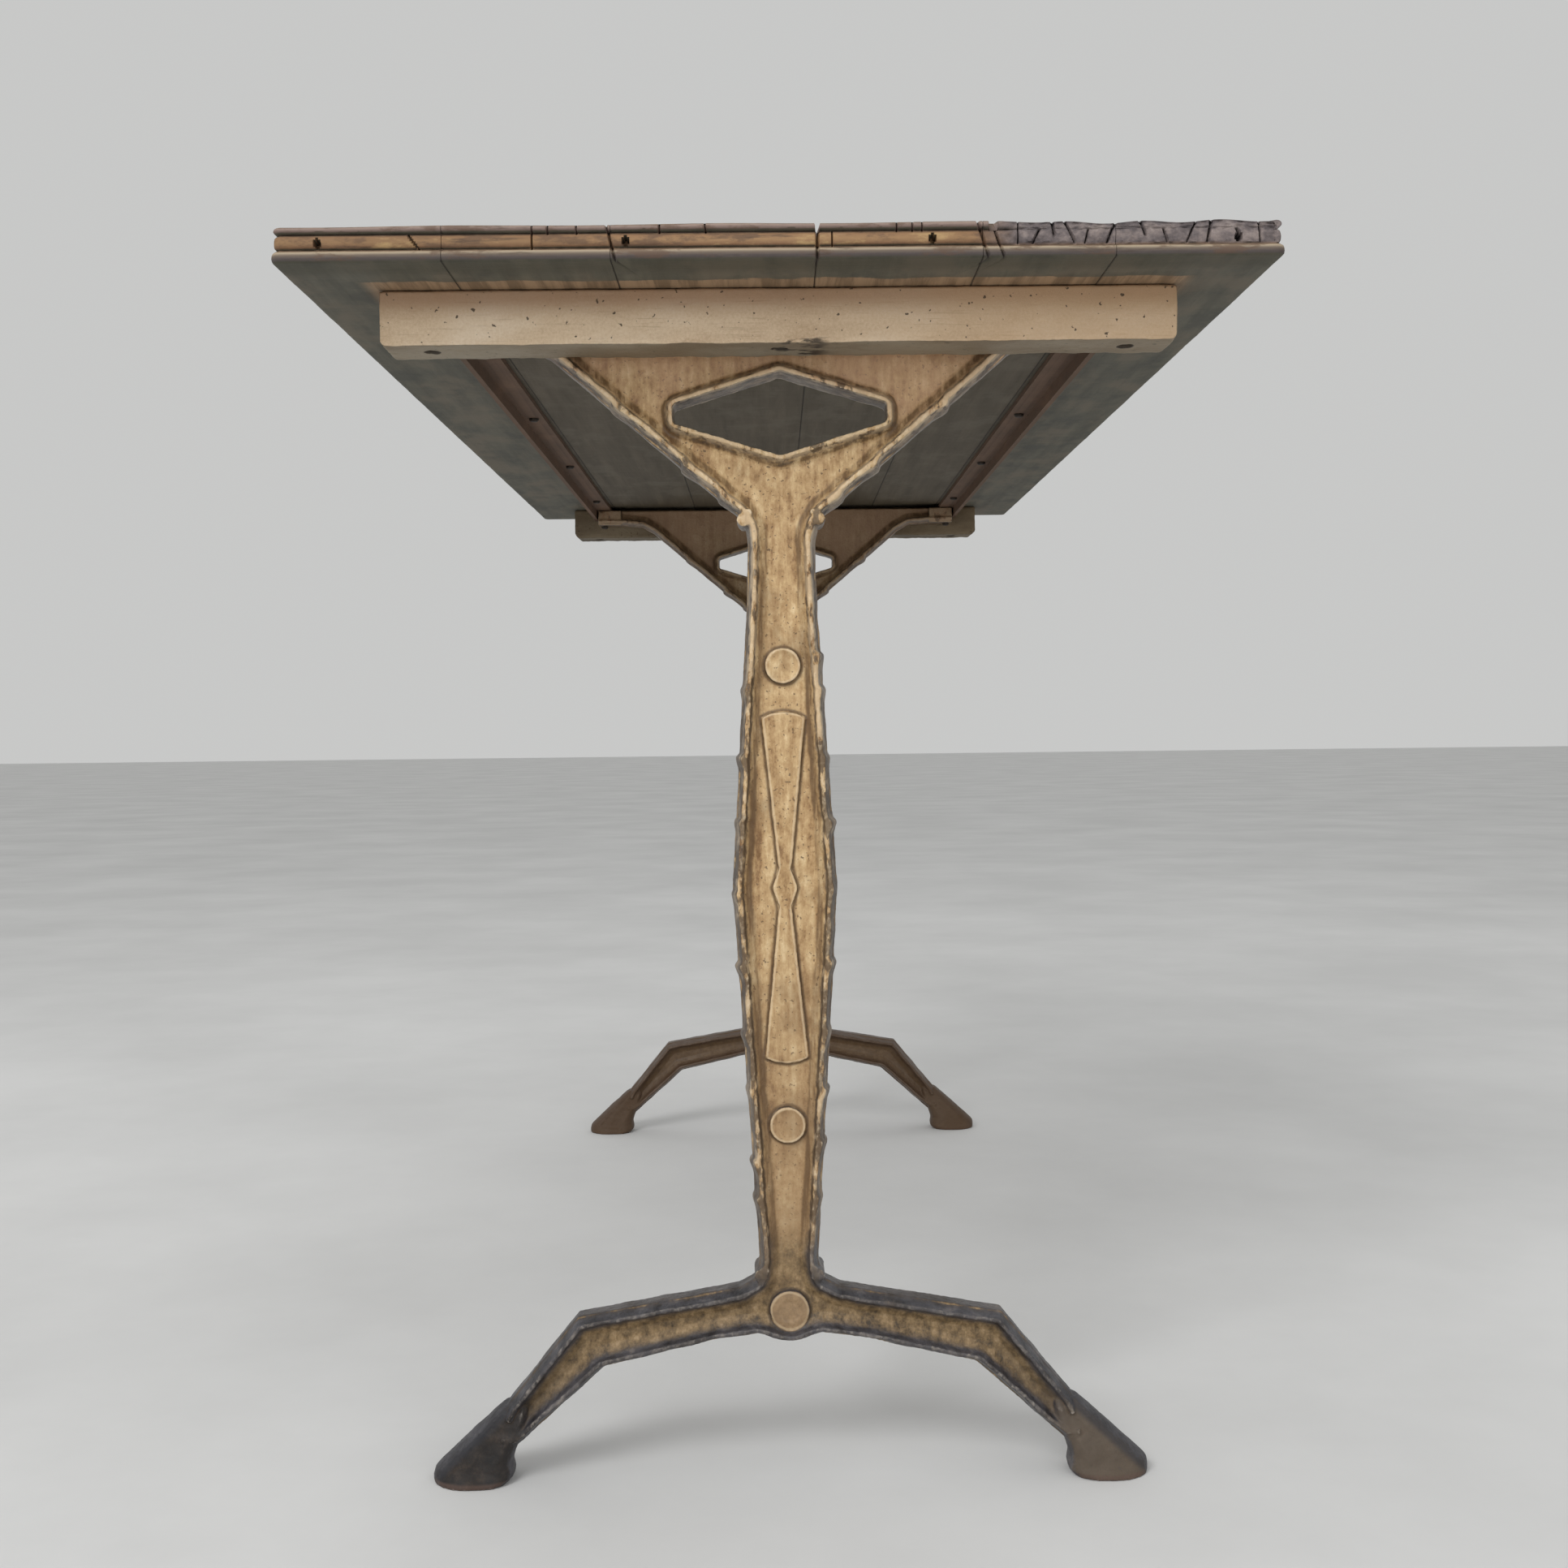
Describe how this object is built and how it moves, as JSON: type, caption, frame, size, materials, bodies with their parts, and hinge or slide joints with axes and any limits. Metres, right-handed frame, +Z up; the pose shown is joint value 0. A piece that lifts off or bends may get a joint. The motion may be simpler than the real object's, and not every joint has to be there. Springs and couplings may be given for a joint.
{
  "type": "drafting table",
  "caption": "Long narrow drafting table with a fixed moulded plank top on cast-iron pedestal legs with hooved feet, angle-iron rails and wooden battens underneath.",
  "frame": {"origin": "on the floor, under the middle of the top", "axes": "+Z up, Y along the table's length with its front end at -Y, X across the table"},
  "size_m": [0.519, 1.1, 0.6898],
  "materials": {
    "aged_wood": "old stained boards, worn and cracked along the moulded edge",
    "charred_wood": "scorched board with transverse cracks",
    "painted_wood": "worn beige paint",
    "painted_iron": "worn tan paint over dark iron",
    "rusty_iron": "dark rust-brown rolled angle",
    "screw_steel": "darkened round-headed screws"
  },
  "bodies": {
    "root": {"top_board_1": "aged_wood", "top_board_2": "aged_wood", "top_board_3": "aged_wood", "top_board_4": "aged_wood", "top_board_5": "aged_wood", "top_board_6": "charred_wood", "batten_front": "painted_wood", "batten_rear": "painted_wood", "rail_left": "rusty_iron", "rail_right": "rusty_iron", "leg_front": "painted_iron", "leg_rear": "painted_iron", "batten_screw_front_1": "screw_steel", "batten_screw_front_2": "screw_steel", "batten_screw_front_3": "screw_steel", "batten_screw_rear_1": "screw_steel", "batten_screw_rear_2": "screw_steel", "batten_screw_rear_3": "screw_steel", "leg_screw_front_1": "screw_steel", "leg_screw_front_2": "screw_steel", "leg_screw_rear_1": "screw_steel", "leg_screw_rear_2": "screw_steel", "rail_screw_left_1": "screw_steel", "rail_screw_left_2": "screw_steel", "rail_screw_left_3": "screw_steel", "rail_screw_left_4": "screw_steel", "rail_screw_right_1": "screw_steel", "rail_screw_right_2": "screw_steel", "rail_screw_right_3": "screw_steel", "rail_screw_right_4": "screw_steel"}
  },
  "joints": []
}
